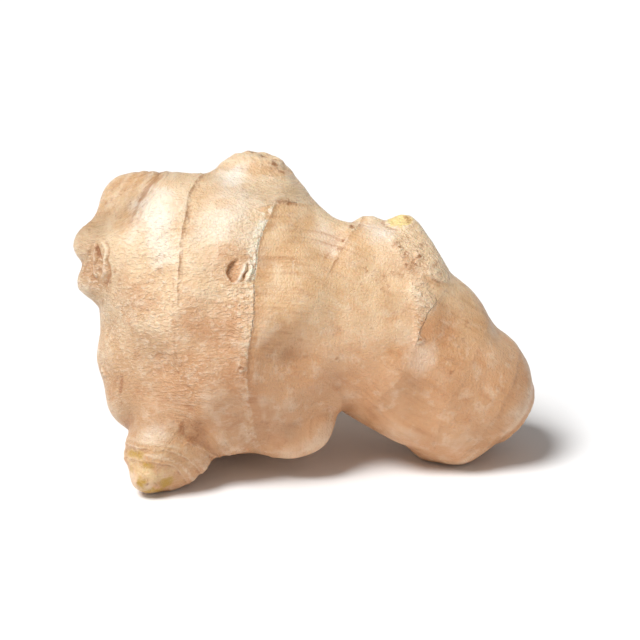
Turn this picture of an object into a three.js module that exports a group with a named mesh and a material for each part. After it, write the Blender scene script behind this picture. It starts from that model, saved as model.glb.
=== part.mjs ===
// A fresh ginger root (a rhizome): one solid body of fused lobes, ringed by leaf scars.
// It is drawn in the plane of its palm, u along it, v up it and w out of its front,
// and then leaned back to lie on three low points. Everything is in millimetres.
import * as THREE from "three";

// Driving dimensions
const LEAN = THREE.MathUtils.degToRad(22); // the palm leans back this far from upright
const SEAT = [-1.2, -3.8, 30.4]; // where the middle of the palm comes to lie
const LUMPS = 0.6; // height of the slow lumps all over the skin
const LUMP_LENGTH = 21; // and how far apart they are
const WANDER = 0.8; // how far a ring wanders off its plane
const WANDER_LENGTH = 24;
const RING_SWELL = 4; // how far back from a ring the skin starts to rise
const RING_EDGE = 0.8; // how soon it drops beyond the ring
const SCAR_FLOOR = 0.3; // where a scar's floor ends, as a share of its radius
const SCAR_WALL = 0.95; // and its wall
const SCAR_RIM = 1.1; // and where its rim is highest
const SCAR_RIM_WIDTH = 0.25;
const GRID = 2.7; // spacing of the net that the skin is drawn on
const FINE = 1.5; // longest side of a facet in a scar
const SNAP = 0.35; // points of the net this near a ring are moved onto it
const RING_FADED = 0.05; // the share of a ring that is too little to draw
const SCAR_REACH = 1.35; // how far a scar's relief reaches, as a share of its radius
const ROOM = new THREE.Box3(new THREE.Vector3(-54, -42, -36), new THREE.Vector3(58, 44, 30));
const SKIN_COLOUR = 0xdcb48c;

// Each lobe runs from its root to its tip, with a radius at each end. Its depth is a share of
// its width, and melt is the width of the blend with the lobes before it.
const makeLobe = (name, root, tip, radii, depth, melt) => ({ name, root, tip, radii, depth, melt });
const LOBES = [
  makeLobe("palm left", [-26.6, 15.2, -2.5], [-26.2, -8, -3], [18.8, 16.8], 0.98, 1),
  makeLobe("palm right", [-13, 14.5, -2.5], [-12.1, -7.5, -3.5], [18.5, 19.5], 1.08, 9),
  makeLobe("palm front", [-22, 5, 2], [-15, 4, 2], [14.5, 14.5], 1, 12),
  makeLobe("finger", [-2.2, 6.4, 0], [37.4, -12.8, -7], [17.6, 14.3], 0.98, 6),
  makeLobe("finger shoulder", [5, 9.6, 0], [8.8, 12, 0], [12, 11.7], 1.1, 3),
  makeLobe("hump", [17.8, 9, 0], [18.2, 11.8, 0], [13.2, 12.5], 0.9, 2),
  makeLobe("hump corner", [15.8, 16.5, 0], [15.6, 21.4, 0], [6, 4.1], 1, 1.5),
  makeLobe("hump stub", [20.4, 17, 0], [22.3, 21.8, 0.5], [5.9, 3.7], 1, 3),
  makeLobe("finger cheek", [24, 3, -1], [29.6, 2.8, -2], [12, 10.8], 1, 5),
  makeLobe("finger heel", [21, -9.6, -4], [31.6, -19.1, -6.5], [12.6, 10.8], 1, 5),
  makeLobe("top knob", [-12.5, 20.9, -1], [-10.6, 33.9, -2.5], [11, 5.5], 1, 6),
  makeLobe("top shoulder", [-0.6, 16.2, -1], [-9.6, 30.4, -2.5], [12, 8], 1.05, 3),
  makeLobe("corner knob", [-31, 21.6, 0], [-36.2, 28, 0], [10.4, 6], 1.1, 7),
  makeLobe("end knob upper", [-37, 15.5, 0], [-45.2, 19.2, 1], [9, 4.4], 1.1, 4),
  makeLobe("end knob lower", [-36.4, 10.6, 0], [-44, 10.4, 1], [7, 4.1], 1.1, 3),
  makeLobe("bulge upper", [-33, -4, 1], [-36.4, -5, 1], [8, 7.4], 1.1, 3),
  makeLobe("bulge lower", [-33, -14, 1], [-36.3, -15.6, 1], [7, 6.3], 1.1, 3),
  makeLobe("palm underside", [-18, -14, 4], [-17.5, -17.5, 5], [9, 8.5], 1, 4),
  makeLobe("low bud", [-27.4, -20, 4], [-28.8, -25.5, 5.4], [9.8, 9.1], 1, 2),
  makeLobe("low bud tip", [-31.2, -28.4, 7.5], [-33, -32.2, 9.5], [5, 3.2], 1, 3),
  makeLobe("under bud", [-3, -11, 0], [0.6, -21.2, 2], [10.5, 6.4], 1, 6),
  makeLobe("back foot", [-14.3, -9.9, -8], [-15, -15.9, -20.4], [12, 9], 1, 5),
  makeLobe("back branch", [6.6, 4, -5], [10.4, 9, -21], [14.5, 9.6], 1, 4),
  makeLobe("back knob", [-20, 12, -8], [-22, 15, -19], [12, 8.4], 1, 4),
];

// Leaf scars: each ring is where a plane through `at`, square to the way of growth `along`, meets
// the skin within `reach`. The older skin swells up to it and then drops by `drop`.
const makeRing = (name, at, along, reach, drop) => ({ name, at, along, reach, drop });
const RINGS = [
  makeRing("palm", [-22, 9, -3], [0.985, -0.03, 0.17], 33, 0.45),
  makeRing("finger base", [-8.8, -6, 12], [0.93, -0.08, 0.3], 36, 0.6),
  makeRing("finger base fold", [-2.6, 27.5, 9], [0.3, -0.9, 0.3], 8, 0.4),
  makeRing("finger second", [3.4, 3.7, -1], [0.87, -0.44, 0.1], 27, 0.4),
  makeRing("finger third", [19.7, -4.2, -3.9], [0.84, -0.48, -0.25], 26, 0.45),
  makeRing("finger fourth", [35.6, -11.9, -6.7], [0.88, -0.4, 0.1], 22, 0.4),
  makeRing("finger last", [40.6, -16, -6], [0.82, -0.5, -0.3], 17, 0.4),
  makeRing("hump base", [31.7, 10.8, 5], [-0.22, -0.97, 0.1], 7, 0.45),
  makeRing("corner", [-34.8, 25.6, 0], [-0.85, 0.53, 0.1], 14, 0.6),
  makeRing("corner tip", [-37.5, 28.5, 0], [-0.85, 0.53, 0.1], 10, 0.4),
  makeRing("top knob lower", [-9, 34, -2], [-0.02, 0.98, 0.15], 12, 0.4),
  makeRing("top knob upper", [-8, 37, -2], [0.1, 0.97, 0.2], 7, 0.3),
  makeRing("low bud first", [-31, -26.6, 8], [-0.3, -0.94, 0.15], 14, 0.55),
  makeRing("low bud second", [-31, -29.8, 9], [-0.35, -0.92, 0.2], 10, 0.5),
  makeRing("low bud third", [-34, -31.2, 9.5], [-0.66, -0.74, 0.1], 5, 0.3),
  makeRing("low bud base", [-20.5, -26.5, 9], [0.66, 0.74, 0.1], 7, 0.5),
  makeRing("under bud", [1, -18, 8], [0.35, -0.9, 0.15], 9, 0.4),
  makeRing("back foot", [-14.8, -14, -17], [-0.05, -0.3, -0.95], 14, 0.5),
  makeRing("back branch", [9, 7.5, -16], [0.2, 0.28, -0.94], 15, 0.5),
  makeRing("back branch tip", [10.2, 9, -23], [0.2, 0.28, -0.94], 12, 0.45),
  makeRing("back knob", [-21.4, 14, -17], [-0.15, 0.2, -0.96], 14, 0.5),
];

// Scars of buds, stems and roots: a hollow in a raised rim, facing out. A depth below zero is
// the stub of a root that stands up.
const makeScar = (name, at, out, radius, depth, rim) => ({ name, at, out, radius, depth, rim });
const SCARS = [
  makeScar("end of the palm", [-45.2, 16.8, 5.5], [-0.7, 0, 0.7], 3, 0.7, 0.25),
  makeScar("eye", [-12.8, 12.5, 20], [0, 0, 1], 2.9, 0.9, 0.35),
  makeScar("top knob end", [-7.4, 38, -1], [0.35, 0.85, 0.35], 3.4, 0.6, 0.15),
  makeScar("hump stub", [22, 24.2, 2.5], [0.1, 0.85, 0.5], 2.4, 0.4, 0.1),
  makeScar("finger end", [49.5, -19.4, -9], [0.86, -0.47, -0.2], 5.5, 1.2, 0.6),
  makeScar("back branch end", [12, 11.4, -30], [0.2, 0.28, -0.94], 4.8, 1.3, 0.5),
  makeScar("back foot end", [-15, -14, -29], [-0.1, 0.1, -0.99], 3.8, 1, 0.5),
  makeScar("root by the eye", [-12.5, -8, 19], [0, 0, 1], 1.6, -0.5, 0),
  makeScar("root low left", [-42, -9.2, 4], [-0.9, 0, 0.4], 1.4, -0.7, 0),
  makeScar("first root on the hump", [21.6, 18.9, 11], [0, 0.4, 0.9], 1.3, -0.4, 0),
  makeScar("second root on the hump", [26.2, 16, 9], [0.4, 0.4, 0.8], 1.4, -0.4, 0),
  makeScar("root on the finger", [26, -2, 11], [0, 0.2, 0.95], 1.5, -0.5, 0),
];

// Distance from a point to a lobe's skin, below zero inside it.
function lobeDistance(lobe, p) {
  const [rx, ry, rz] = lobe.root;
  const [tx, ty, tz] = lobe.tip;
  const bx = tx - rx;
  const by = ty - ry;
  const bz = (tz - rz) / lobe.depth;
  const px = p.x - rx;
  const py = p.y - ry;
  const pz = (p.z - rz) / lobe.depth;
  const along = (px * bx + py * by + pz * bz) / (bx * bx + by * by + bz * bz);
  const h = THREE.MathUtils.clamp(along, 0, 1);
  const radius = THREE.MathUtils.lerp(lobe.radii[0], lobe.radii[1], h);
  return Math.hypot(px - h * bx, py - h * by, pz - h * bz) - radius;
}

// The smaller of two distances, rounded over a width k.
function blend(a, b, k) {
  const h = Math.max(k - Math.abs(a - b), 0) / k;
  return Math.min(a, b) - (h * h * k) / 4;
}

// Six ways of running, spread evenly round a ball, each with its own pace and start.
const GOLDEN_ANGLE = 2.4;
const GOLDEN_SHARE = 0.618;
const WAVES = [0, 1, 2, 3, 4, 5].map((i) => {
  const rise = ((GOLDEN_SHARE * i) % 1) * 2 - 1;
  const flat = Math.sqrt(1 - rise * rise);
  const turn = GOLDEN_ANGLE * i;
  const way = new THREE.Vector3(flat * Math.cos(turn), flat * Math.sin(turn), rise);
  return { way, pace: 1 + 0.15 * i, start: 1.7 * i };
});

// Slow waves of about the given length that run all ways, from -1 to 1 or a little over.
function waves(p, length) {
  let sum = 0;
  for (const { way, pace, start } of WAVES)
    sum += Math.sin((2 * Math.PI * pace * way.dot(p)) / length + start);
  return sum / 2.5;
}

// Distance from a point to the body's skin before its rings and scars.
function body(p) {
  let d = Infinity;
  for (const lobe of LOBES) {
    const next = lobeDistance(lobe, p);
    d = d === Infinity ? next : blend(d, next, lobe.melt);
  }
  return d + LUMPS * waves(p, LUMP_LENGTH);
}

// The direction in which a field grows, times how fast.
function slope(field, p) {
  const e = 0.05;
  const g = (dx, dy, dz) => field(new THREE.Vector3(p.x + dx, p.y + dy, p.z + dz));
  return new THREE.Vector3(
    g(e, 0, 0) - g(-e, 0, 0),
    g(0, e, 0) - g(0, -e, 0),
    g(0, 0, e) - g(0, 0, -e),
  ).divideScalar(2 * e);
}

// Moves a point onto the body's skin.
function ontoSkin(p) {
  for (let i = 0; i < 3; i++) {
    const g = slope(body, p);
    p.addScaledVector(g, -body(p) / g.lengthSq());
  }
  return p;
}

const CORNERS = [0, 1, 2, 3, 4, 5, 6, 7].map((n) => [n & 1, (n >> 1) & 1, (n >> 2) & 1]);
const EDGES = CORNERS.flatMap((a, i) => CORNERS.slice(i + 1).map((b) => [a, b])).filter(
  ([a, b]) => Math.abs(a[0] - b[0]) + Math.abs(a[1] - b[1]) + Math.abs(a[2] - b[2]) === 1,
);

// A closed net of triangles over the field's zero surface: a point in each grid cell that the
// surface crosses, joined round each grid edge that it crosses.
function netOver(field, box, step) {
  const size = box.getSize(new THREE.Vector3()).divideScalar(step).ceil().addScalar(1).toArray();
  const index = (i, j, k) => (k * size[1] + j) * size[0] + i;
  const point = (i, j, k) => new THREE.Vector3(i, j, k).multiplyScalar(step).add(box.min);
  const values = new Float64Array(size[0] * size[1] * size[2]);
  for (let k = 0; k < size[2]; k++)
    for (let j = 0; j < size[1]; j++)
      for (let i = 0; i < size[0]; i++) values[index(i, j, k)] = field(point(i, j, k));
  const vertexOf = new Map();
  const points = [];
  for (let k = 0; k < size[2] - 1; k++)
    for (let j = 0; j < size[1] - 1; j++)
      for (let i = 0; i < size[0] - 1; i++) {
        const middle = new THREE.Vector3();
        let crossed = 0;
        for (const [a, b] of EDGES) {
          const va = values[index(i + a[0], j + a[1], k + a[2])];
          const vb = values[index(i + b[0], j + b[1], k + b[2])];
          if (va < 0 === vb < 0) continue;
          const from = point(i + a[0], j + a[1], k + a[2]);
          middle.add(from.lerp(point(i + b[0], j + b[1], k + b[2]), va / (va - vb)));
          crossed++;
        }
        if (!crossed) continue;
        vertexOf.set(index(i, j, k), points.length);
        points.push(middle.divideScalar(crossed));
      }
  const triangles = [];
  for (let k = 1; k < size[2] - 1; k++)
    for (let j = 1; j < size[1] - 1; j++)
      for (let i = 1; i < size[0] - 1; i++)
        for (let axis = 0; axis < 3; axis++) {
          const here = [i, j, k];
          const next = [i, j, k];
          next[axis]++;
          const inside = values[index(...here)] < 0;
          if (inside === values[index(...next)] < 0) continue;
          const round = [[0, 0], [1, 0], [1, 1], [0, 1]].map(([b, c]) => {
            const cell = [i, j, k];
            cell[(axis + 1) % 3] -= b;
            cell[(axis + 2) % 3] -= c;
            return vertexOf.get(index(...cell));
          });
          if (!inside) round.reverse();
          const [a, b, c, d] = round;
          const isFirstShorter = points[a].distanceTo(points[c]) < points[b].distanceTo(points[d]);
          triangles.push(...(isFirstShorter ? [[a, b, c], [a, c, d]] : [[a, b, d], [b, c, d]]));
        }
  return { points, triangles };
}

// How far past a ring's plane a point lies, in the way of growth.
function pastRing(ring, p) {
  const way = new THREE.Vector3(...ring.along).normalize();
  const from = new THREE.Vector3(...ring.at);
  return way.dot(p.clone().sub(from)) + WANDER * waves(p, WANDER_LENGTH);
}

// How much of a ring is left at a point: all of it near its middle, none of it past its reach.
function ringShare(ring, p) {
  const away = p.distanceTo(new THREE.Vector3(...ring.at));
  return 1 - THREE.MathUtils.smoothstep(away, 0.85 * ring.reach, ring.reach);
}

// How high the skin stands at a ring.
function ringRelief(p) {
  let height = 0;
  for (const ring of RINGS) {
    const share = ringShare(ring, p);
    if (share === 0) continue;
    const past = pastRing(ring, p);
    const rise = past < 0 ? Math.exp(past / RING_SWELL) : Math.max(1 - past / RING_EDGE, 0);
    height += ring.drop * rise * share;
  }
  return height;
}

// Distance from a scar's middle, square to the way that it faces. It is endless well above or
// below the scar.
function fromScar(scar, p) {
  const out = new THREE.Vector3(...scar.out).normalize();
  const offset = p.clone().sub(new THREE.Vector3(...scar.at));
  const height = offset.dot(out);
  if (Math.abs(height) > 2 * scar.radius) return Infinity;
  return offset.addScaledVector(out, -height).length();
}

// How high the skin stands round a scar's rim, and in its floor and wall.
function scarRelief(p) {
  let height = 0;
  for (const scar of SCARS) {
    const away = fromScar(scar, p) / scar.radius;
    height -= scar.depth * (1 - THREE.MathUtils.smoothstep(away, SCAR_FLOOR, SCAR_WALL));
    height += scar.rim * Math.exp(-(((away - SCAR_RIM) / SCAR_RIM_WIDTH) ** 2));
  }
  return height;
}

// Splits each side of the net that pointOn gives a point for, and the facets at that side.
function splitSides(net, pointOn) {
  const places = new Map();
  const placeOn = (a, b) => {
    const key = `${Math.min(a, b)} ${Math.max(a, b)}`;
    if (!places.has(key)) {
      const point = pointOn(net.points[a], net.points[b]);
      places.set(key, point ? net.points.push(point) - 1 : -1);
    }
    return places.get(key);
  };
  net.triangles = net.triangles.flatMap((corners) => {
    let [p, q, r] = corners;
    let [pq, qr, rp] = [placeOn(p, q), placeOn(q, r), placeOn(r, p)];
    const splits = [pq, qr, rp].filter((place) => place >= 0).length;
    if (splits === 0) return [corners];
    if (splits === 3) return [[p, pq, rp], [pq, q, qr], [rp, qr, r], [pq, qr, rp]];
    const isTurned = () => (splits === 1 ? pq >= 0 : pq < 0);
    while (!isTurned()) {
      [p, q, r] = [q, r, p];
      [pq, qr, rp] = [qr, rp, pq];
    }
    return splits === 1 ? [[p, pq, r], [pq, q, r]] : [[rp, qr, r], [p, q, qr], [p, qr, rp]];
  });
}

// Evens out the net along the skin.
function relax(net, passes) {
  for (let pass = 0; pass < passes; pass++) {
    const sums = net.points.map(() => new THREE.Vector3());
    const counts = net.points.map(() => 0);
    for (const [a, b, c] of net.triangles)
      for (const [from, to] of [[a, b], [b, c], [c, a]]) {
        sums[from].add(net.points[to]);
        counts[from]++;
      }
    net.points.forEach((p, i) => ontoSkin(p.lerp(sums[i].divideScalar(counts[i]), 0.5)));
  }
}

// Draws a line of sides on the net where `past` is zero, over the stretch where it is in reach.
function drawLine(net, past, isInReach) {
  for (const p of net.points) {
    if (!isInReach(p) || Math.abs(past(p)) > SNAP) continue;
    const way = slope(past, p);
    for (let i = 0; i < 3; i++) {
      p.addScaledVector(way, -past(p) / way.lengthSq());
      ontoSkin(p);
    }
  }
  splitSides(net, (a, b) => {
    const [pastA, pastB] = [past(a), past(b)];
    const isOn = Math.min(Math.abs(pastA), Math.abs(pastB)) < SNAP / 4;
    if (isOn || pastA < 0 === pastB < 0 || !isInReach(a)) return null;
    return ontoSkin(a.clone().lerp(b, pastA / (pastA - pastB)));
  });
}

// A net with shorter sides in the scars, and with sides along both edges of each ring.
function detailedNet() {
  const net = netOver(body, ROOM, GRID);
  net.points.forEach(ontoSkin);
  relax(net, 2);
  const splitInScar = (a, b) => {
    const middle = a.clone().lerp(b, 0.5);
    const isInScar = SCARS.some((scar) => fromScar(scar, middle) < SCAR_REACH * scar.radius);
    return isInScar && a.distanceTo(b) > FINE ? ontoSkin(middle) : null;
  };
  splitSides(net, splitInScar);
  splitSides(net, splitInScar);
  relax(net, 1);
  for (const ring of RINGS)
    for (const edge of [0, RING_EDGE])
      drawLine(net, (p) => pastRing(ring, p) - edge, (p) => ringShare(ring, p) > RING_FADED);
  return net;
}

// The skin with its relief, leaned back, seated, and flat where it touches the surface below.
function rhizomeGeometry() {
  const net = detailedNet();
  for (const p of net.points) {
    const out = slope(body, p).normalize();
    p.addScaledVector(out, ringRelief(p) + scarRelief(p));
  }
  const geometry = new THREE.BufferGeometry().setFromPoints(net.points);
  geometry.setIndex(net.triangles.flat());
  geometry.rotateX(Math.PI / 2 - LEAN);
  geometry.translate(...SEAT);
  const position = geometry.getAttribute("position");
  for (let i = 0; i < position.count; i++) position.setZ(i, Math.max(position.getZ(i), 0));
  geometry.computeVertexNormals();
  return geometry;
}

const skin = new THREE.MeshStandardMaterial({ color: SKIN_COLOUR, roughness: 0.6, metalness: 0 });
const rhizome = new THREE.Mesh(rhizomeGeometry(), skin);
rhizome.name = "rhizome";
const root = new THREE.Group();
root.add(rhizome);
export default root;
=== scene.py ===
import math

import bmesh
import bpy
import numpy as np
from mathutils import Matrix, Vector, noise


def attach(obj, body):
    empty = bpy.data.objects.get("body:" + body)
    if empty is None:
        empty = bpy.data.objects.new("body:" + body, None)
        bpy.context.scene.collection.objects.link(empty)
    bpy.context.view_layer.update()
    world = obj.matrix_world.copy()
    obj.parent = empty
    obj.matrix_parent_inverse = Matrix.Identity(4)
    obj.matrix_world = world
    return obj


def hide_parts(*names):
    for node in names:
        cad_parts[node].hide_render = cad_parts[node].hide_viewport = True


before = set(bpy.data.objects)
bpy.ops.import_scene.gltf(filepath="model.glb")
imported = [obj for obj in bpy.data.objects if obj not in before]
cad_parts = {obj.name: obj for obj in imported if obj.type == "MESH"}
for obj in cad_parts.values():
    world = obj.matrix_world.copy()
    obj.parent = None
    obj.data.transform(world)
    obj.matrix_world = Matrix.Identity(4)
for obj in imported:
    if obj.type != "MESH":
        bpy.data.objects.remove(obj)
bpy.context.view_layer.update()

# A fresh ginger root (a rhizome) on a pale floor. Its skin is drawn again over the same lobes,
# rings and scars as the solid, but on a much finer net, and then wrinkled. Shapes are worked out
# in millimetres in the plane of the palm: u along it, v up it and w out of its front.
MM = 0.001
LEAN = math.radians(22)  # how far the palm leans back
SEAT = np.array([-1.2, -3.8, 30.4])
AXES = np.array(
    [
        [1, 0, 0],
        [0, math.sin(LEAN), math.cos(LEAN)],
        [0, -math.cos(LEAN), math.sin(LEAN)],
    ]
)

# Spacing of the fine net, which is halved at rings and scars and again in the eye and the whorl,
# and how near to their middles: in millimetres for a ring, in shares of the radius for a scar
VOXEL = 0.65
RING_NEAR = 0.9
SCAR_NEAR = 1.3
EYE_NEAR = 1.2
WHORL_NEAR = 2.5

# Height and length of the body's slow lumps, and how far and how slowly the rings wander
LUMPS = 0.6
LUMP_LENGTH = 21
WANDER = 0.8
WANDER_LENGTH = 24
WAVE_COUNT = 6
GOLDEN_ANGLE = 2.4
GOLDEN_SHARE = 0.618

# A ring: the share of its drop that stands proud, how far before it the skin swells, how far past
# it the skin falls where the edge is crisp and where it is soft, and the groove after a crisp one
RING_RISE = 0.55
RING_SWELL = 4
CRISP_FALL = 0.4
SOFT_FALL = 2
GROOVE_DEPTH = 0.25
GROOVE_AT = 0.7
GROOVE_WIDTH = 0.45
FIRST_TONE = 0.15  # tone of the skin before the first ring
NO_RING = 9.0  # a distance at which a ring doesn't show

# A scar, as shares of its radius: where its floor ends, where its wall ends, and its rim
SCAR_FLOOR = 0.3
SCAR_WALL = 0.95
SCAR_RIM = 1.1
SCAR_RIM_WIDTH = 0.25
NO_SCAR = 99  # stands for a place too far above or below a scar

# The body's lobes: name, root, tip, radius at each end, depth as a share of the width, and width
# of the blend with the lobes before it
LOBES = [
    ("palm left", (-26.6, 15.2, -2.5), (-26.2, -8, -3), (18.8, 16.8), 0.98, 1),
    ("palm right", (-13, 14.5, -2.5), (-12.1, -7.5, -3.5), (18.5, 19.5), 1.08, 9),
    ("palm front", (-22, 5, 2), (-15, 4, 2), (14.5, 14.5), 1, 12),
    ("finger", (-2.2, 6.4, 0), (37.4, -12.8, -7), (17.6, 14.3), 0.98, 6),
    ("finger shoulder", (5, 9.6, 0), (8.8, 12, 0), (12, 11.7), 1.1, 3),
    ("hump", (17.8, 9, 0), (18.2, 11.8, 0), (13.2, 12.5), 0.9, 2),
    ("hump corner", (15.8, 16.5, 0), (15.6, 21.4, 0), (6, 4.1), 1, 1.5),
    ("hump stub", (20.4, 17, 0), (22.3, 21.8, 0.5), (5.9, 3.7), 1, 3),
    ("finger cheek", (24, 3, -1), (29.6, 2.8, -2), (12, 10.8), 1, 5),
    ("finger heel", (21, -9.6, -4), (31.6, -19.1, -6.5), (12.6, 10.8), 1, 5),
    ("top knob", (-12.5, 20.9, -1), (-10.6, 33.9, -2.5), (11, 5.5), 1, 6),
    ("top shoulder", (-0.6, 16.2, -1), (-9.6, 30.4, -2.5), (12, 8), 1.05, 3),
    ("corner knob", (-31, 21.6, 0), (-36.2, 28, 0), (10.4, 6), 1.1, 7),
    ("end knob upper", (-37, 15.5, 0), (-45.2, 19.2, 1), (9, 4.4), 1.1, 4),
    ("end knob lower", (-36.4, 10.6, 0), (-44, 10.4, 1), (7, 4.1), 1.1, 3),
    ("bulge upper", (-33, -4, 1), (-36.4, -5, 1), (8, 7.4), 1.1, 3),
    ("bulge lower", (-33, -14, 1), (-36.3, -15.6, 1), (7, 6.3), 1.1, 3),
    ("palm underside", (-18, -14, 4), (-17.5, -17.5, 5), (9, 8.5), 1, 4),
    ("low bud", (-27.4, -20, 4), (-28.8, -25.5, 5.4), (9.8, 9.1), 1, 2),
    ("low bud tip", (-31.2, -28.4, 7.5), (-33, -32.2, 9.5), (5, 3.2), 1, 3),
    ("under bud", (-3, -11, 0), (0.6, -21.2, 2), (10.5, 6.4), 1, 6),
    ("back foot", (-14.3, -9.9, -8), (-15, -15.9, -20.4), (12, 9), 1, 5),
    ("back branch", (6.6, 4, -5), (10.4, 9, -21), (14.5, 9.6), 1, 4),
    ("back knob", (-20, 12, -8), (-22, 15, -19), (12, 8.4), 1, 4),
]

# Leaf-scar rings: name, a point of its plane, way of growth, reach, drop, how crisp its edge is
# low down and high up, how much it flakes, the tone past it, and the height of the folds along it
RINGS = [
    ("palm", (-22, 9, -3), (0.985, -0.03, 0.17), 33, 0.45, (0, 1.2), 0.25, 0.25, 0),
    ("finger base", (-8.8, -6, 12), (0.93, -0.08, 0.3), 36, 0.6, (0.3, 0.35), 2.0, 0.65, 0),
    ("finger base fold", (-2.6, 27.5, 9), (0.3, -0.9, 0.3), 8, 0.4, (0.2, 0.2), 0.3, 0.6, 0),
    ("finger second", (3.4, 3.7, -1), (0.87, -0.44, 0.1), 27, 0.4, (0, 0.6), 0.2, 0.45, 0),
    ("finger third", (19.7, -4.2, -3.9), (0.84, -0.48, -0.25), 26, 0.45, (0.1, 0.15), 0.1, 0.6, 0),
    ("finger fourth", (35.6, -11.9, -6.7), (0.88, -0.4, 0.1), 22, 0.4, (0.2, 0.5), 0.2, 0.4, 0),
    ("finger last", (40.6, -16, -6), (0.82, -0.5, -0.3), 17, 0.4, (0.2, 0.4), 0.2, 0.6, 0),
    ("hump base", (31.7, 10.8, 5), (-0.22, -0.97, 0.1), 7, 0.45, (0.2, 0.5), 0.1, 0.7, 0),
    ("corner", (-34.8, 25.6, 0), (-0.85, 0.53, 0.1), 14, 0.6, (0.1, 0.3), 0.1, 0.75, 0.16),
    ("corner tip", (-37.5, 28.5, 0), (-0.85, 0.53, 0.1), 10, 0.4, (0.1, 0.2), 0.1, 0.8, 0.08),
    ("top knob lower", (-9, 34, -2), (-0.02, 0.98, 0.15), 12, 0.4, (0, 0.1), 0.3, 0.4, 0.08),
    ("top knob upper", (-8, 37, -2), (0.1, 0.97, 0.2), 7, 0.3, (0.2, 0.3), 0.3, 0.4, 0.1),
    ("low bud first", (-31, -26.6, 8), (-0.3, -0.94, 0.15), 14, 0.55, (0.6, 0.6), 0.2, 0.45, 0.06),
    ("low bud second", (-31, -29.8, 9), (-0.35, -0.92, 0.2), 10, 0.5, (0.6, 0.6), 0.3, 0.45, 0.08),
    ("low bud third", (-34, -31.2, 9.5), (-0.66, -0.74, 0.1), 5, 0.3, (0.5, 0.5), 0.3, 0.3, 0),
    ("low bud base", (-20.5, -26.5, 9), (0.66, 0.74, 0.1), 7, 0.5, (0.6, 0.6), 0.1, 0.6, 0.05),
    ("under bud", (1, -18, 8), (0.35, -0.9, 0.15), 9, 0.4, (0.2, 0.3), 0.3, 0.4, 0),
    ("back foot", (-14.8, -14, -17), (-0.05, -0.3, -0.95), 14, 0.5, (0.4, 0.4), 0.3, 0.6, 0),
    ("back branch", (9, 7.5, -16), (0.2, 0.28, -0.94), 15, 0.5, (0.5, 0.5), 0.5, 0.3, 0),
    ("back branch tip", (10.2, 9, -23), (0.2, 0.28, -0.94), 12, 0.45, (0.5, 0.5), 0.3, 0.7, 0),
    ("back knob", (-21.4, 14, -17), (-0.15, 0.2, -0.96), 14, 0.5, (0.4, 0.4), 0.3, 0.5, 0),
]

# Scars: name, middle, way that it faces, radius, depth, and height of the rim. A depth below zero
# is the height of a root's stub.
SCARS = [
    ("end of the palm", (-45.2, 16.8, 5.5), (-0.7, 0, 0.7), 3, 0.7, 0.25),
    ("eye", (-12.8, 12.5, 20), (0, 0, 1), 2.9, 0.9, 0.35),
    ("top knob end", (-7.4, 38, -1), (0.35, 0.85, 0.35), 3.4, 0.6, 0.15),
    ("hump stub", (22, 24.2, 2.5), (0.1, 0.85, 0.5), 2.4, 0.4, 0.1),
    ("finger end", (49.5, -19.4, -9), (0.86, -0.47, -0.2), 5.5, 1.2, 0.6),
    ("back branch end", (12, 11.4, -30), (0.2, 0.28, -0.94), 4.8, 1.3, 0.5),
    ("back foot end", (-15, -14, -29), (-0.1, 0.1, -0.99), 3.8, 1, 0.5),
    ("root by the eye", (-12.5, -8, 19), (0, 0, 1), 1.6, -0.5, 0),
    ("root low left", (-42, -9.2, 4), (-0.9, 0, 0.4), 1.4, -0.7, 0),
    ("first root on the hump", (21.6, 18.9, 11), (0, 0.4, 0.9), 1.3, -0.4, 0),
    ("second root on the hump", (26.2, 16, 9), (0.4, 0.4, 0.8), 1.4, -0.4, 0),
    ("root on the finger", (26, -2, 11), (0, 0.2, 0.95), 1.5, -0.5, 0),
]

# From the middle of the palm's end scar to the slit there, across and up, and the middle of the
# folds round it
SLIT_ACROSS = 2.4
SLIT_UP = 0.5
WHORL = (-43.8, 14.8, 7.2)
WHORL_INNER = 3.5
WHORL_OUTER = 7
WHORL_REACH = 9  # in shares of the scar's radius

# How often the net is evened out to find its narrow and its wide hollows
NARROW_PASSES = 10
WIDE_PASSES = 90

# Where the skin is frayed, at the tip of the top knob
FRAY = (-7.6, 38, 0)
FRAY_INNER = 3
FRAY_OUTER = 8

# Spots on the front: middle across and up, half length, half width, turn in degrees and strength.
# The first two tables are the cream young skin at the low bud's tip and the olive patches in it.
CREAMS = [
    (-34.4, -29.6, 4.4, 2.6, -50, 0.8),
    (-31, -31.8, 4.4, 1.8, 20, 0.7),
    (-36.2, -26.8, 2.6, 1.2, -10, 0.6),
    (-29, -27, 8, 5, -20, 0.25),
]

OLIVES = [
    (-35.7, -26.8, 2.3, 0.9, -10, 1),
    (-32.8, -29.1, 1.8, 0.7, -20, 1),
    (-34.2, -33.2, 1.8, 1.3, -60, 1.2),
    (-29.2, -33, 2.5, 1.3, 15, 1.2),
    (-32, -34.8, 3, 1, 0, 1),
    (-36.4, -30, 0.9, 0.5, -60, 0.6),
]

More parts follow.
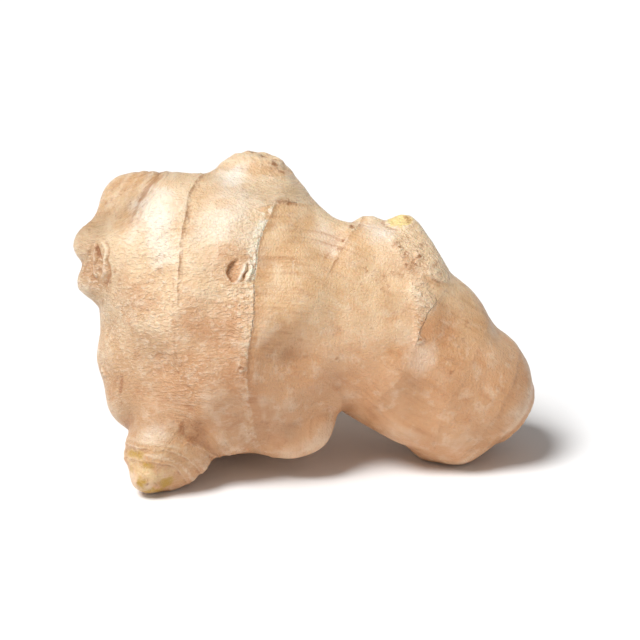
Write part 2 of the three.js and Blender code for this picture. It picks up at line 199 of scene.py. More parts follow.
# Dark marks
MARKS = [
    (-26.8, -3, 15, 0.6, 91, 0.26),
    (-8, 38.3, 1.5, 0.4, -15, 0.5),
    (-3.8, 34.6, 1.7, 0.35, -35, 0.45),
    (26.4, 18.6, 1.2, 0.7, 10, 0.35),
    (18.3, 11.7, 1.0, 0.5, -10, 0.4),
    (20.9, 18.7, 1.3, 0.9, 30, 0.35),
    (21.3, 11.9, 1.6, 0.6, -15, 0.5),
    (29.6, 14.4, 1.2, 0.8, 40, 0.35),
    (24.6, 13.4, 1.6, 0.9, -40, 0.3),
    (-5.6, 36.3, 1.2, 0.6, -40, 0.55),
    (-3.2, 27.9, 3.6, 1.0, -8, 0.4),
    (-38.8, -11.6, 2.9, 0.6, 84, 0.5),
    (-39.0, -16.3, 1.2, 0.5, 80, 0.5),
    (-25.3, -21.2, 1.9, 1.1, 60, 0.5),
    (-40.0, 12.8, 0.8, 0.5, 60, 0.5),
    (-39.0, 10.9, 0.6, 0.4, 20, 0.4),
    (-41.2, 11.2, 2.4, 0.5, 80, 0.3),
    (11.2, 22.6, 0.8, 0.6, 0, 0.6),
    (9.4, 19.4, 1.4, 0.25, 50, 0.5),
    (8.6, 17.6, 0.6, 0.4, 0, 0.5),
    (-26.2, -9.0, 1.1, 0.25, -50, 0.5),
    (23.7, 24.3, 1.5, 1.1, -60, 0.4),
    (8.0, -6.0, 1.5, 0.3, -30, 0.4),
    (33.0, -9.0, 0.8, 0.4, 50, 0.5),
    (-37.7, -26.1, 0.6, 0.5, 30, 0.6),
    (-33.0, -33.2, 0.5, 0.4, 0, 0.5),
    (-19.4, -27.6, 1.4, 0.5, -45, 0.45),
]

# Rosy areas: partly the skin's own colour, partly painted shade on the lower and middle front
ROSY_AND_SHADED_SPOTS = [
    (-45, 13, 9, 6, 80, 0.8),
    (-35, 6, 10, 9, 0, 0.8),
    (-18, -1, 15, 11, 0, 0.95),
    (-13, -12, 11, 10, 90, 1.2),
    (-18, -21, 9, 5, 10, 1.1),
    (-38, -6, 5, 9, 80, 0.3),
    (-31, -22, 6, 5, 0, 0.1),
    (-26, -28, 6, 5, 30, 0.6),
    (-14, 14, 10, 7, 0, 0.65),
    (-1, -5, 7, 7, 0, 0.6),
    (24, 13, 8, 5, -40, 0.6),
    (30, -1, 12, 8, -50, 1),
    (24, -18, 12, 7, -30, 0.7),
    (2, -21, 7, 5, 0, 0.8),
]

# Mottled areas
MOTTLES = [
    (24.5, 16, 8, 5, -55, 1),
    (17, 10, 6, 4, -20, 0.8),
    (-38, 28, 7, 6, 50, 0.7),
    (-24, -23, 6, 4, 30, 0.9),
    (-9, -21, 7, 4, 0, 0.6),
    (-44, 12, 6, 9, 80, 0.6),
    (-38, -10, 5, 8, 80, 0.5),
    (-24, -11, 8, 6, 0, 0.4),
    (34, 0, 6, 5, -50, 0.4),
    (-6, 36, 5, 3, 0, 0.5),
]

# Dull greyish areas
DULLS = [
    (-46, 8, 12, 16, 0, 0.9),
    (-38, -10, 11, 15, 0, 0.8),
    (-34, -22, 9, 8, 0, 0.8),
]

# Painted shade: darker areas on the lower front and on the corner knob
SHADES = [
    (-16, -12, 12, 11, 0, 0.8),
    (-10, -20, 12, 6, 0, 0.9),
    (-40, 28, 7, 6, 50, 0.6),
]

# Painted highlights: pale spots where the key light's gloss falls on the front
PAINTED_HIGHLIGHTS = [
    (-31.2, 25, 9, 6.5, 75, 0.9),
    (-28.8, 18, 6, 3.5, 80, 0.7),
    (-14.2, 33.8, 4.5, 3, 15, 1),
    (17.2, 21, 4.5, 3.5, -20, 0.9),
    (-16, 24, 9, 7, 60, 0.55),
    (-31.5, -22.5, 4, 2.5, 10, 0.3),
    (6, 20, 6, 4, -30, 0.45),
    (26, -6, 6, 4, -60, 0.3),
]


def unit(way):
    return np.array(way, float) / np.linalg.norm(way)


def named(table, name):
    """The table's row of that name."""
    return next(row for row in table if row[0] == name)


def smoothstep(x, low, high):
    """A soft step from 0 at low to 1 at high."""
    t = np.clip((x - low) / (high - low), 0, 1)
    return t * t * (3 - 2 * t)


def fade(x, low, high):
    """A soft step from 1 at low to 0 at high."""
    return 1 - smoothstep(x, low, high)


def bell(x, width):
    """A soft bump of height 1 round 0."""
    return np.exp(-((x / width) ** 2))


def bumps(p, length, stretch=(1, 1, 1), seed=0.0):
    """Noise from -1 to 1 at each point, with features of about the given length."""
    q = p / (length * np.array(stretch)) + seed
    return np.array([noise.noise(Vector(v)) for v in q])


def waves(p, length):
    """Slow waves of about the given length that run all ways, from -1 to 1 or a little over."""
    total = np.zeros(len(p))
    for i in range(WAVE_COUNT):
        rise = (GOLDEN_SHARE * i % 1) * 2 - 1
        flat = math.sqrt(1 - rise * rise)
        turn = GOLDEN_ANGLE * i
        way = np.array([flat * math.cos(turn), flat * math.sin(turn), rise])
        total += np.sin(2 * math.pi * (1 + 0.15 * i) * (p @ way) / length + 1.7 * i)
    return total / 2.5


def lobe_distance(lobe, p):
    """Distance from each point to a lobe's skin, below zero inside it."""
    _, root, tip, radii, depth, _ = lobe
    squeeze = np.array([1, 1, 1 / depth])
    b = (np.array(tip) - root) * squeeze
    q = (p - root) * squeeze
    h = np.clip(q @ b / (b @ b), 0, 1)
    radius = radii[0] + (radii[1] - radii[0]) * h
    return np.linalg.norm(q - h[:, None] * b, axis=1) - radius


def body(p):
    """Distance from each point to the body's skin before its rings and scars."""
    d = lobe_distance(LOBES[0], p)
    for lobe in LOBES[1:]:
        to_lobe = lobe_distance(lobe, p)
        melt = lobe[-1]
        h = np.maximum(melt - np.abs(d - to_lobe), 0) / melt
        d = np.minimum(d, to_lobe) - h * h * melt / 4
    return d + LUMPS * waves(p, LUMP_LENGTH)


def slope(p):
    """The direction in which the body's distance grows, times how fast."""
    length = 0.05
    steps = np.eye(3) * length
    return np.stack([body(p + step) - body(p - step) for step in steps], 1) / (2 * length)


def onto_skin(p):
    """The points moved onto the body's skin."""
    for _ in range(3):
        g = slope(p)
        p = p - g * (body(p) / (g * g).sum(1))[:, None]
    return p


def past_ring(ring, p, ragged):
    """How far past a ring's plane each point lies, in the way of growth."""
    at, along = ring[1:3]
    return (p - at) @ unit(along) + ragged


def ring_share(ring, p):
    """How much of a ring each point feels, from 1 near its middle to 0 out of its reach."""
    at, reach = ring[1], ring[3]
    return fade(np.linalg.norm(p - at, axis=1), 0.85 * reach, reach)


def raggedness(p):
    """How far the rings stray from their planes."""
    fine = 0.4 * bumps(p, 6) + 0.2 * bumps(p, 2) + 0.1 * bumps(p, 0.8)
    return WANDER * waves(p, WANDER_LENGTH) + fine


def in_scar(scar, p):
    """Each point's place round a scar: two distances across it, and one from its middle, all as
    shares of its radius. The last is large well above or below the scar."""
    _, at, out, radius, _, _ = scar
    out = unit(out)
    side = unit(np.cross((0, 1, 0.01), out))
    up = np.cross(out, side)
    offset = p - at
    x = offset @ side / radius
    y = offset @ up / radius
    away = np.hypot(x, y)
    away[np.abs(offset @ out) > 2 * radius] = NO_SCAR
    return x, y, away


# Middle of each stretch, its way of growth, and its reach
GROWTH = [
    ((-20, 4, 0), (1, 0, 0), 26),
    ((14, 8, 0), (0.87, -0.45, -0.15), 16),
    ((36, -10, -6), (0.87, -0.45, -0.15), 18),
    ((-10, 34, 0), (0, 1, 0), 9),
    ((-38, 29, 0), (-0.8, 0.6, 0), 9),
    ((-30, -27, 7), (-0.4, -0.85, 0.35), 10),
    ((0, -21, 0), (0.35, -0.93, 0), 9),
    ((10, 8, -22), (0.2, 0.28, -0.94), 12),
    ((-21, 14, -19), (-0.15, 0.2, -0.96), 10),
    ((-15, -15, -20), (0, -0.3, -0.95), 10),
]


def grain_of(p):
    """Coordinates of each point with the first along the local way of growth."""
    total = np.zeros_like(p)
    weights = np.zeros(len(p))
    for middle, way, reach in GROWTH:
        along = unit(way)
        side = unit(np.cross(along, (0.1, 0.2, 0.97)))
        up = np.cross(along, side)
        weight = np.exp(-2 * (np.linalg.norm(p - middle, axis=1) / reach) ** 2) + 1e-6
        total += weight[:, None] * np.stack([p @ along, p @ side, p @ up], 1)
        weights += weight
    return total / weights[:, None]


def fine_net(node):
    """A copy of the solid's mesh as an even fine net, as an object."""
    piece = bpy.data.objects.new("ginger_skin", node.data.copy())
    bpy.context.scene.collection.objects.link(piece)
    remesh = piece.modifiers.new("net", "REMESH")
    remesh.mode = "VOXEL"
    remesh.voxel_size = VOXEL * MM
    graph = bpy.context.evaluated_depsgraph_get()
    mesh = bpy.data.meshes.new_from_object(piece.evaluated_get(graph))
    piece.modifiers.clear()
    piece.data = mesh
    return piece


def points_of(mesh):
    """The mesh's points in the plane of the palm, in millimetres."""
    co = np.empty(len(mesh.vertices) * 3)
    mesh.vertices.foreach_get("co", co)
    return (co.reshape(-1, 3) / MM - SEAT) @ AXES.T


def is_detailed(p):
    """Which points are near enough to a ring or scar to need a finer net."""
    ragged = raggedness(p)
    near = np.zeros(len(p), bool)
    for ring in RINGS:
        near |= (np.abs(past_ring(ring, p, ragged)) < RING_NEAR) & (ring_share(ring, p) > 0.05)
    for scar in SCARS:
        near |= in_scar(scar, p)[2] < SCAR_NEAR
    return near


def is_drawn(p):
    """Which points are in the eye or in the whorl, which need the finest net."""
    in_eye = in_scar(named(SCARS, "eye"), p)[2] < EYE_NEAR
    in_whorl = in_scar(named(SCARS, "end of the palm"), p)[2] < WHORL_NEAR
    return in_eye | in_whorl


def refine(mesh, is_fine):
    """Halves the net's sides where is_fine says that its points need it."""
    near = is_fine(points_of(mesh))
    net = bmesh.new()
    net.from_mesh(mesh)
    sides = [edge for edge in net.edges if all(near[point.index] for point in edge.verts)]
    bmesh.ops.subdivide_edges(net, edges=sides, cuts=1, use_grid_fill=True)
    bmesh.ops.triangulate(net, faces=[face for face in net.faces if len(face.verts) > 4])
    net.to_mesh(mesh)
    net.free()


def averaged(values, sides, passes):
    """Values at the net's points, each evened out with its neighbours."""
    count = len(values)
    ends = np.concatenate([sides, sides[:, ::-1]])
    degree = np.bincount(ends[:, 0], minlength=count)
    for _ in range(passes):
        columns = [np.bincount(ends[:, 0], column[ends[:, 1]], count) for column in values.T]
        values = 0.5 * values + 0.5 * np.stack(columns, 1) / degree[:, None]
    return values


def ring_section(past, crisp_share):
    """Height of a ring's skin by the distance past it: it swells towards the ring, and then drops
    at once where the ring is crisp and slowly where it is soft."""
    before = np.exp(np.minimum(past, 0) / RING_SWELL)
    groove = GROOVE_DEPTH * bell(past - GROOVE_AT, GROOVE_WIDTH)
    crisp = np.maximum(1 - past / CRISP_FALL, 0) - groove
    soft = np.exp(-np.maximum(past, 0) / SOFT_FALL)
    return np.where(past < 0, before, crisp_share * crisp + (1 - crisp_share) * soft)


def ring_relief(p):
    """Height of the skin at the rings, distance past the nearest one, how strong and how flaky its
    line is, and the tone that each stretch between two rings has of its own."""
    ragged = raggedness(p)
    patchy = bumps(p, 8, seed=2.3)
    rough = bumps(p, 0.9, seed=8.0)
    upper = smoothstep(p[:, 1], -2, 20)
    flaky = 0.1 + 0.9 * smoothstep(p[:, 1], 4, 18)
    height = np.zeros(len(p))
    nearest = np.full(len(p), NO_RING)
    line = np.zeros(len(p))
    flake = np.zeros(len(p))
    tone = np.full(len(p), FIRST_TONE)
    for ring in RINGS:
        drop, (low_crispness, high_crispness), flaking, tone_past, fold = ring[4:]
        share = ring_share(ring, p)
        past = past_ring(ring, p, ragged)
        crispness = low_crispness + (high_crispness - low_crispness) * upper
        crisp_share = smoothstep(0.4 * patchy + crispness, 0.2, 0.6)
        height += RING_RISE * drop * share * ring_section(past, crisp_share)
        height += 0.1 * flaking * share * rough * bell(past + 0.4, 0.7)
        height += 0.05 * share * crisp_share * np.sin(4.2 * past) * bell(past, 3)
        height += fold * share * np.sin(2.9 * past + 3 * patchy) * bell(past - 1, 3)
        nearer = (np.abs(past) < np.abs(nearest)) & (share > 0.02)
        nearest[nearer] = past[nearer]
        line[nearer] = (share * (0.15 + 0.85 * crisp_share))[nearer]
        flake[nearer] = (flaking * share * flaky)[nearer]
        tone += share * smoothstep(past, -0.3, 0.3) * (tone_past - tone)
    return height, nearest, line, flake, tone


def eye_ridges(x, y, p):
    """How high two bent ridges stand in the right part of the eye, and the groove between them."""
    t = 0.95 * x - 0.3 * y + 0.2 * y * y + 0.12 * bumps(p, 1.1, seed=3.3)
    first = bell(t - 0.2, 0.16) * fade(np.abs(y + 0.1), 0.4, 0.9)
    groove = bell(t - 0.45, 0.1) * fade(np.abs(y), 0.3, 0.8)
    second = bell(t - 0.76, 0.2) * fade(np.abs(y - 0.1), 0.5, 1)
    return np.maximum(first, second) - 0.6 * groove


def eye_relief(x, y, away, p):
    """A shallow oval pit whose left part is hollow."""
    inside = fade(away + 0.05 * bumps(p, 1.5, seed=2.2), 0.82, 1.04)
    hollow = -smoothstep(-x, -0.2, 0.6)
    return inside * (hollow + 0.7 * eye_ridges(x, y, p))


def whorl_relief(across, up, p):
    """Uneven folds round a long oval with a slit in its upper part, by the distances in millimetres
    from the middle of the slit."""
    wobble = 1.1 * bumps(p, 3.4, seed=6.0) + 0.35 * bumps(p, 1.4, seed=6.5)
    away = np.hypot(across - 0.6, (up + 2.2) / 1.8) + wobble
    strong = 0.7 + 0.9 * bumps(p, 4, seed=1.9)
    folds = 0.6 * bell(away - 2, 0.6) - 0.4 * bell(away, 1.1)
    folds += 0.2 * bell(away - 4.3, 0.9) - 0.3 * bell(away - 3.2, 0.7)
    slit = -0.6 * bell(np.hypot((across + 0.25 * up) / 0.6, up / 2.2), 1)
    return slit + strong * folds * fade(np.linalg.norm(p - WHORL, axis=1), WHORL_INNER, WHORL_OUTER)


def stub_relief(depth, away, uneven):
    """A root's stub, which stands out of the skin and has a small pit."""
    return -depth * fade(away * uneven, 0.1, 1) - 0.3 * fade(away, 0, 0.4)


def hollow_relief(scar, away, rough, uneven):
    """A hollow scar with a rough floor, a rim and faint folds round it."""
    depth, rim = scar[4:]
    height = -depth * fade(away, SCAR_FLOOR, SCAR_WALL)
    height += 0.3 * rough * fade(away, 0.8, 1.3)
    height += rim * bell(away - SCAR_RIM, SCAR_RIM_WIDTH)
    return height + 0.08 * np.sin(9 * away + 3 * uneven) * fade(away, 1, 2.8)


def scar_relief(p):
    """Height of the skin at the scars, how brown they are, partly painted shade in the eye, and the
    eye ridges' painted highlight.
    """
    height = np.zeros(len(p))
    stain_and_shade = np.zeros(len(p))
    rough = bumps(p, 1.3, seed=4.0)
    uneven = 1 + 0.5 * bumps(p, 1.0, seed=7.0)
    for scar in SCARS:
        name, _, _, radius, depth, _ = scar
        x, y, away = in_scar(scar, p)
        brown = np.zeros(len(p))
        if name == "eye":
            height += eye_relief(x, y, away, p)
            # Partly the scar's own brown, partly painted shade: browner towards the eye's hollow
            # left wall, where shade falls
            brown = 0.3 * fade(away, 0.8, 1.05) * smoothstep(-x, -0.1, 0.8)
            # Painted highlight on the eye's ridges
            pale = fade(away, 0.9, 1.1) * np.maximum(eye_ridges(x, y, p), 0)
        elif name == "end of the palm":
            near = away < WHORL_REACH
            across, up = x * radius - SLIT_ACROSS, y * radius - SLIT_UP
            height[near] += whorl_relief(across, up, p)[near]
            slit = np.hypot((across + 0.25 * up) / 0.8, up / 2.7)
            brown = 0.5 * fade(slit * uneven, 0.3, 1.2)
        elif depth < 0:
            height += stub_relief(depth, away, uneven)
            core = np.hypot(x, 1.8 * y) * uneven**2
            brown = 0.5 * fade(core, 0.1, 0.7)
        else:
            height += hollow_relief(scar, away, rough, uneven)
            if name not in ("hump stub", "top knob end"):
                brown = 0.4 * fade(away * uneven, 0.3, 1.1)
        stain_and_shade = np.maximum(stain_and_shade, brown)
    return height, stain_and_shade, pale


def in_spot(spot, p):
    """Distance from the middle of an oval spot, as a share of its size."""
    across, up, half_length, half_width, turn, _ = spot
    turn = math.radians(turn)
    x, y = p[:, 0] - across, p[:, 1] - up
    along = (x * math.cos(turn) + y * math.sin(turn)) / half_length
    aside = (y * math.cos(turn) - x * math.sin(turn)) / half_width
    return np.hypot(along, aside)


def spots(table, p, out, ragged, low, high):
    """How strong the table's spots are at each point of the front, which ragged makes uneven. They
    fade out from low to high, as shares of their size."""
    total = np.zeros(len(p))
    for spot in table:
        strength = spot[-1]
        total = np.maximum(total, strength * fade(in_spot(spot, p) + ragged, low, high))
    return total * smoothstep(out[:, 2], -0.1, 0.2)


def crepe_strength(p, tone):
    """How strong the fine wrinkles are: most at the height of the eye, and least on the tawny skin
    of the finger."""
    middle = bell(p[:, 1] - 8, 16)
    crepe = (0.35 + 0.65 * middle) * (0.8 + 0.6 * bumps(p, 12, seed=3.1))
    smooth = smoothstep(tone, 0.3, 0.42) * smoothstep(p[:, 0], -14, -8)
    return crepe * (1 - 0.85 * smooth)


def wrinkles(p, grain, crepe, fray):
    """Height of the fine wrinkles along the growth, of small lumps and of the frayed skin."""
    fine = bumps(grain, 1.6, (2, 1, 1), seed=5.0) + 0.8 * bumps(grain, 2.8, (2.2, 1, 1), seed=9.0)
    lumps = 0.22 * bumps(p, 4.5, seed=1.7)
    return 0.17 * fine * crepe + lumps + 0.4 * fray * bumps(grain, 1.8, (2.5, 1, 1), seed=2.0)


def hollowness(p, out, sides, passes):
    """How far each point lies below the skin round it. More passes look farther round."""
    return ((averaged(p, sides, passes) - p) * out).sum(1)


def spot_numbers(p, out, fray, stain_and_shade, pale):
    """The strength at each point of every colour that the tables of spots give."""
    ragged = 0.45 * bumps(p, 1.2, seed=3.0) + 0.2 * bumps(p, 0.5, seed=1.0)
    blur = 0.45 * bumps(p, 2, seed=2.6) + 0.35 * bumps(p, 0.8, seed=4.4)
    highlight_edge = 0.5 * bumps(p, 4, seed=5.3) + 0.2 * bumps(p, 1, seed=5.0)
    stain_and_shade = np.maximum(stain_and_shade, spots(MARKS, p, out, 1.6 * ragged, 0.1, 1.3))
    stain_and_shade = np.maximum(stain_and_shade, 0.35 * fray * smoothstep(bumps(p, 2.2, seed=6.4), 0.1, 0.45))
    # Rosier towards the bottom: partly the skin's own colour, partly painted shade where the body
    # turns down from the light
    low = smoothstep(-p[:, 1], -14, 12) * (0.8 + 0.2 * smoothstep(p[:, 0], -42, -28))
    spotted_rosy_and_shade = spots(ROSY_AND_SHADED_SPOTS, p, out, 0.35 * bumps(p, 5, seed=1.3), 0, 1.3)
    return {
        "stain_and_shade": stain_and_shade,
        "rosy_and_shaded": np.maximum(spotted_rosy_and_shade, 0.9 * low),
        "dull": spots(DULLS, p, out, 0.4 * bumps(p, 5, seed=8.2), 0.2, 1.3),
        "shade": spots(SHADES, p, out, 0.5 * bumps(p, 4, seed=2.9), 0.2, 1.3),
        "cream": spots(CREAMS, p, out, blur, 0.4, 1.2),
        "olive": spots(OLIVES, p, out, blur, 0.4, 1.1),
        "mottle": np.maximum(spots(MOTTLES, p, out, 0.5 * bumps(p, 3, seed=7.7), 0, 1.3), 0.1),
        # Painted highlight: the spots of the table above and the eye's ridges
        "painted_highlight": np.maximum(spots(PAINTED_HIGHLIGHTS, p, out, highlight_edge, 0.1, 1.2), 0.9 * pale),
        "cut": fade(in_scar(named(SCARS, "hump stub"), p)[2] + ragged, 0.9, 1.3),
    }


def shape_skin(piece):
    """Lays the net on the body, raises its rings, scars and wrinkles, and keeps what the material
    needs to know about each point."""
    mesh = piece.data
    refine(mesh, is_detailed)
    refine(mesh, is_drawn)
    p = onto_skin(points_of(mesh))
    out = slope(p)
    out /= np.linalg.norm(out, axis=1)[:, None]
    grain = grain_of(p)
    ring_height, ring_past, ring_line, flake, tone = ring_relief(p)
    scar_height, stain_and_shade, pale = scar_relief(p)
    crepe = crepe_strength(p, tone)
    fray = fade(np.linalg.norm(p - FRAY, axis=1), FRAY_INNER, FRAY_OUTER)
    height = ring_height + scar_height + wrinkles(p, grain, crepe, fray)
    p = p + out * height[:, None]

    sides = np.array([edge.vertices[:] for edge in mesh.edges])
    numbers = {
        "ring_past": ring_past,
        "ring_line": ring_line,
        "flake": flake,
        "tone": tone,
        "crepe": crepe,
        "narrow_hollow": hollowness(p, out, sides, NARROW_PASSES),
        "wide_hollow": hollowness(p, out, sides, WIDE_PASSES),
    }
    numbers.update(spot_numbers(p, out, fray, stain_and_shade, pale))
    for name, values in numbers.items():
        layer = mesh.attributes.new(name, "FLOAT", "POINT")
        layer.data.foreach_set("value", values.astype(np.float32))
    layer = mesh.attributes.new("grain", "FLOAT_VECTOR", "POINT")
    layer.data.foreach_set("vector", grain.astype(np.float32).ravel())

    world = p @ AXES + SEAT
    world[:, 2] = np.maximum(world[:, 2], 0)
    mesh.vertices.foreach_set("co", (world * MM).ravel())
    mesh.polygons.foreach_set("use_smooth", [True] * len(mesh.polygons))
    mesh.update()


def srgb(red, green, blue):
    """A colour given from 0 to 255 as the eye sees it, as linear light."""
    parts = [c / 255 for c in (red, green, blue)]
    linear = [c / 12.92 if c <= 0.04045 else ((c + 0.055) / 1.055) ** 2.4 for c in parts]
    return (*linear, 1)


class Nodes:
    """A material's nodes, with short calls for the kinds that are used here."""

    def __init__(self, name):
        self.material = bpy.data.materials.new(name)
        self.material.use_nodes = True
        self.tree = self.material.node_tree
        self.tree.nodes.clear()

    def add(self, kind, inputs, **settings):
        node = self.tree.nodes.new(kind)
        for key, value in settings.items():
            setattr(node, key, value)
        for key, value in inputs.items():
            if isinstance(value, bpy.types.NodeSocket):
                self.tree.links.new(value, node.inputs[key])
            else:
                node.inputs[key].default_value = value
        return node

    def attribute(self, name, output="Fac"):
        return self.add("ShaderNodeAttribute", {}, attribute_name=name).outputs[output]

    def noise(self, where, length, detail=3, rough=0.5, distortion=0.0):
        """Noise from 0 to 1 with features of about the given length, in the units of where."""
        inputs = {
            "Vector": where,
            "Scale": 1 / length,
            "Detail": detail,
            "Roughness": rough,
            "Distortion": distortion,
        }
        return self.add("ShaderNodeTexNoise", inputs).outputs[0]

    def remap(self, value, low, high, to_low=0.0, to_high=1.0):
        """A soft step from to_low where the value is low to to_high where it is high."""
        inputs = {
            "Value": value,
            "From Min": low,
            "From Max": high,
            "To Min": to_low,
            "To Max": to_high,
        }
        kind = "ShaderNodeMapRange"
        return self.add(kind, inputs, interpolation_type="SMOOTHSTEP").outputs[0]

    def plus(self, a, b):
        return self.add("ShaderNodeMath", {0: a, 1: b}, operation="ADD").outputs[0]

    def times(self, a, b):
        return self.add("ShaderNodeMath", {0: a, 1: b}, operation="MULTIPLY").outputs[0]

    def mix(self, share, a, b):
        inputs = {0: share, 6: a, 7: b}
        return self.add("ShaderNodeMix", inputs, data_type="RGBA", blend_type="MIX").outputs[2]

    def stretch(self, where, factors):
        inputs = {"Vector": where, "Scale": factors}
        return self.add("ShaderNodeMapping", inputs).outputs[0]


PALE = srgb(240, 209, 170)
TAN = srgb(224, 180, 132)
ROSY = srgb(202, 144, 98)
BROWN = srgb(166, 108, 64)
DARK = srgb(104, 62, 32)
DULL = srgb(150, 130, 100)
# Pale flakes, and also the painted highlight on crests and ridges
FLAKE_AND_HIGHLIGHT = srgb(252, 236, 210)
OLIVE = srgb(190, 148, 62)
CREAM = srgb(230, 200, 148)
YELLOW = srgb(248, 222, 156)
HIGHLIGHT_WHITE = srgb(255, 246, 232)
FLOOR_GREY = (0.92, 0.92, 0.92, 1)


def broad_colour(n, place, streak):
    """The skin's main colours, partly painted shade, with painted highlights, pale blotches and
    brown streaks along it.
    """
    tone = n.plus(n.attribute("tone"), n.remap(n.noise(place, 9, 3), 0.3, 0.7, -0.35, 0.35))
    colour = n.mix(n.remap(tone, 0, 1), PALE, TAN)
    flush = n.remap(n.noise(place, 4, 4, 0.6), 0.5, 0.75, 0, 0.35)
    # Rosy skin, partly painted shade on the lower front
    rosy_and_shaded = n.plus(n.attribute("rosy_and_shaded"), flush)
    colour = n.mix(n.remap(rosy_and_shaded, 0, 1.2, 0, 0.9), colour, ROSY)
    colour = n.mix(n.times(n.attribute("dull"), 0.3), colour, DULL)
    # Painted shade: darker in the spots of the table of darker areas
    colour = n.mix(n.times(n.attribute("shade"), 0.2), colour, DARK)
    # Painted highlight: whitens the skin in those spots and on the eye's ridges
    colour = n.mix(n.times(n.attribute("painted_highlight"), 0.85), colour, HIGHLIGHT_WHITE)
    blotch = n.remap(n.noise(place, 2.6, 4, 0.6), 0.5, 0.66, 0, 0.2)
    colour = n.mix(blotch, colour, FLAKE_AND_HIGHLIGHT)
    streaky = n.remap(n.noise(streak, 1.0, 3, 0.6), 0.45, 0.7)
    return n.mix(n.times(streaky, n.remap(tone, 0.3, 1, 0, 0.45)), colour, BROWN)


def crepe_shade_and_highlight(n, colour, crinkle):
    """Painted shade: browner troughs of the crepe and of the larger folds, and painted highlight:
    paler crests.
    """
    crepe = n.attribute("crepe")
    trough = n.times(n.remap(crinkle, 0.5, 0.3), crepe)
    colour = n.mix(n.times(trough, 0.22), colour, BROWN)
    crest = n.times(n.remap(crinkle, 0.52, 0.68), crepe)
    return n.mix(n.times(crest, 0.45), colour, FLAKE_AND_HIGHLIGHT)


def mottled_colour(n, colour, place):
    """Brown freckles and clouds, most where the skin is mottled."""
    mottle = n.attribute("mottle")
    flecks = n.plus(n.noise(place, 1.3, 4, 0.6), n.times(mottle, 0.09))
    flecks = n.times(n.remap(flecks, 0.61, 0.7), n.remap(mottle, 0, 1, 0.3, 0.7))
    colour = n.mix(flecks, colour, BROWN)
    clouds = n.remap(n.noise(place, 3.2, 4, 0.65), 0.5, 0.68, 0, 0.5)
    return n.mix(n.times(clouds, mottle), colour, BROWN)


def hollow_shade_and_highlight(n, colour):
    """Painted shade: browner narrow and wide hollows of the shape itself, and painted highlight:
    paler ridges.
    """
    narrow = n.attribute("narrow_hollow")
    colour = n.mix(n.remap(narrow, 0.01, 0.16, 0, 0.55), colour, BROWN)
    colour = n.mix(n.remap(narrow, -0.02, -0.16, 0, 0.4), colour, FLAKE_AND_HIGHLIGHT)
    return n.mix(n.remap(n.attribute("wide_hollow"), 0.05, 1.0, 0, 0.25), colour, BROWN)


def young_colour(n, colour, place):
    """Cream and olive young skin at the low bud, and the yellow break of the stub."""
    patchy = n.remap(n.noise(place, 1.6, 4, 0.65), 0.35, 0.6, 0.4, 0.9)
    colour = n.mix(n.times(n.attribute("cream"), patchy), colour, CREAM)
    patchy = n.remap(n.noise(place, 1.2, 4, 0.7), 0.35, 0.6, 0.6, 1)
    colour = n.mix(n.times(n.attribute("olive"), patchy), colour, OLIVE)
    return n.mix(n.attribute("cut"), colour, YELLOW)


def ring_colour(n, colour, place):
    """Pale flaking skin just before a ring, and a brown line just past it."""
    past = n.attribute("ring_past")
    flaked = n.times(n.remap(past, -2.4, -0.3), n.remap(past, 0.25, 0.0))
    flaked = n.times(flaked, n.remap(n.noise(place, 1.6, 4, 0.7), 0.42, 0.56))
    flaked = n.times(flaked, n.remap(n.noise(place, 9, 2), 0.32, 0.52))
    colour = n.mix(n.times(flaked, n.attribute("flake")), colour, FLAKE_AND_HIGHLIGHT)
    groove = n.times(n.remap(past, -0.05, 0.15), n.remap(past, 0.9, 0.2))
    groove = n.times(groove, n.remap(n.noise(place, 2.4, 4, 0.6), 0.38, 0.62, 0.05, 0.6))
    return n.mix(n.times(groove, n.attribute("ring_line")), colour, BROWN)


def stain_and_shade_colour(n, colour, place):
    """Brown stains, dark in their middle, with painted shade in the eye's hollow left part."""
    patchy = n.remap(n.noise(place, 0.8, 4, 0.7), 0.35, 0.6, 0.45, 1.15)
    stain_and_shade = n.times(n.attribute("stain_and_shade"), patchy)
    colour = n.mix(n.remap(stain_and_shade, 0, 0.5, 0, 0.8), colour, BROWN)
    return n.mix(n.remap(stain_and_shade, 0.4, 1), colour, DARK)


def skin_material():
    n = Nodes("ginger_skin")
    place = n.stretch(n.add("ShaderNodeTexCoord", {}).outputs["Object"], (1 / MM, 1 / MM, 1 / MM))
    grain = n.attribute("grain", "Vector")
    streak = n.stretch(grain, (0.1, 1, 0.3))
    crinkle = n.noise(n.stretch(grain, (0.55, 1, 1)), 0.62, 2, 0.55, 0.5)
    colour = broad_colour(n, place, streak)
    # Painted shade in the crepe's troughs and painted highlight on its crests
    colour = crepe_shade_and_highlight(n, colour, crinkle)
    colour = mottled_colour(n, colour, place)
    # Painted shade in the hollows and painted highlight on the ridges
    colour = hollow_shade_and_highlight(n, colour)
    colour = young_colour(n, colour, place)
    colour = ring_colour(n, colour, place)
    colour = stain_and_shade_colour(n, colour, place)
    height = n.times(crinkle, n.attribute("crepe"))
    height = n.plus(height, n.times(n.noise(place, 0.5, 3, 0.6), 0.35))
    height = n.plus(height, n.times(n.noise(streak, 0.9, 2), 0.3))
    bump = n.add("ShaderNodeBump", {"Strength": 1, "Distance": 0.8 * MM, "Height": height})
    shader = n.add(
        "ShaderNodeBsdfPrincipled",
        {
            "Base Color": colour,
            "Roughness": n.remap(n.noise(place, 1.3, 3), 0.3, 0.7, 0.33, 0.46),
            "Specular IOR Level": 0.55,
            "Subsurface Weight": 0.12,
            "Subsurface Radius": (1.0, 0.45, 0.2),
            "Subsurface Scale": 1.2 * MM,
            "Normal": bump.outputs[0],
        },
    )
    n.add("ShaderNodeOutputMaterial", {"Surface": shader.outputs[0]})
    return n.material


def make_rhizome():
    piece = fine_net(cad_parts["rhizome"])
    shape_skin(piece)
    piece.data.materials.clear()
    piece.data.materials.append(skin_material())
    for polygon in piece.data.polygons:
        polygon.material_index = 0
    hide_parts("rhizome")
    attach(piece, "root")


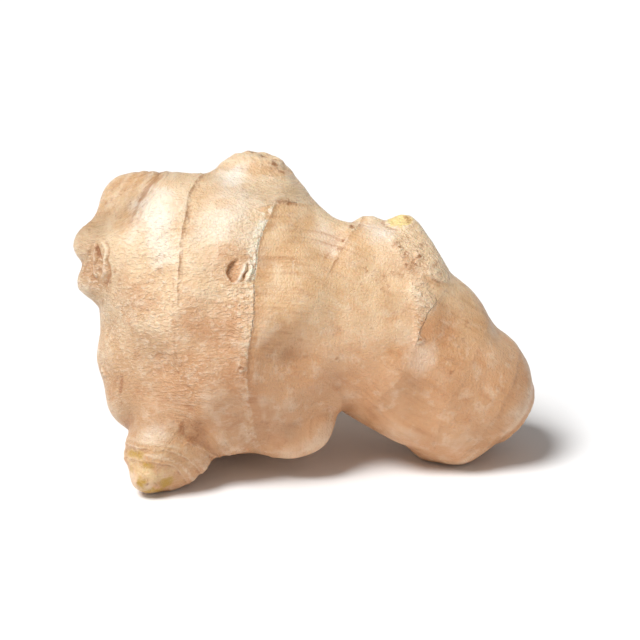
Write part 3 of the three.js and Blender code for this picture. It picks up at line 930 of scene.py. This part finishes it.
# The camera looks square at the palm's plane: the point across and up it that is in the middle of
# the picture, and the distance from it
VIEW_ACROSS = 4.4
VIEW_UP = 2.2
VIEW_DISTANCE = 700
SENSOR = 36
LENS = 179


def make_camera():
    data = bpy.data.cameras.new("camera")
    data.sensor_width = SENSOR
    data.lens = LENS
    camera = bpy.data.objects.new("camera", data)
    bpy.context.scene.collection.objects.link(camera)
    eye = Vector((np.array([VIEW_ACROSS, VIEW_UP, VIEW_DISTANCE]) @ AXES + SEAT) * MM)
    rotation = Matrix([[*axis] for axis in AXES]).transposed().to_4x4()
    camera.matrix_world = Matrix.Translation(eye) @ rotation
    bpy.context.scene.camera = camera


def make_floor():
    mesh = bpy.data.meshes.new("floor")
    half = 6
    corners = [(-half, -half, 0), (half, -half, 0), (half, half, 0), (-half, half, 0)]
    mesh.from_pydata(corners, [], [(0, 1, 2, 3)])
    floor = bpy.data.objects.new("floor", mesh)
    bpy.context.scene.collection.objects.link(floor)
    n = Nodes("floor")
    shader = n.add("ShaderNodeBsdfPrincipled", {"Base Color": FLOOR_GREY, "Roughness": 0.9})
    n.add("ShaderNodeOutputMaterial", {"Surface": shader.outputs[0]})
    mesh.materials.append(n.material)


def make_sun(name, source, softness, strength):
    """A far soft light that shines from the direction of source towards the middle. Its softness
    is the angle that it fills."""
    data = bpy.data.lights.new(name, "SUN")
    data.energy = strength
    data.angle = math.radians(softness)
    light = bpy.data.objects.new(name, data)
    bpy.context.scene.collection.objects.link(light)
    light.rotation_euler = (-Vector(source)).to_track_quat("-Z", "Y").to_euler()


def make_lights():
    make_sun("key", (-0.42, -0.3, 0.86), 26, 3.4)
    make_sun("fill", (0.7, -0.8, 0.5), 50, 0.1)
    world = bpy.data.worlds.new("world")
    world.use_nodes = True
    background = world.node_tree.nodes["Background"]
    background.inputs["Color"].default_value = (1, 1, 1, 1)
    background.inputs["Strength"].default_value = 0.25
    bpy.context.scene.world = world
    bpy.context.scene.view_settings.view_transform = "Standard"


make_camera()
make_floor()
make_lights()
make_rhizome()
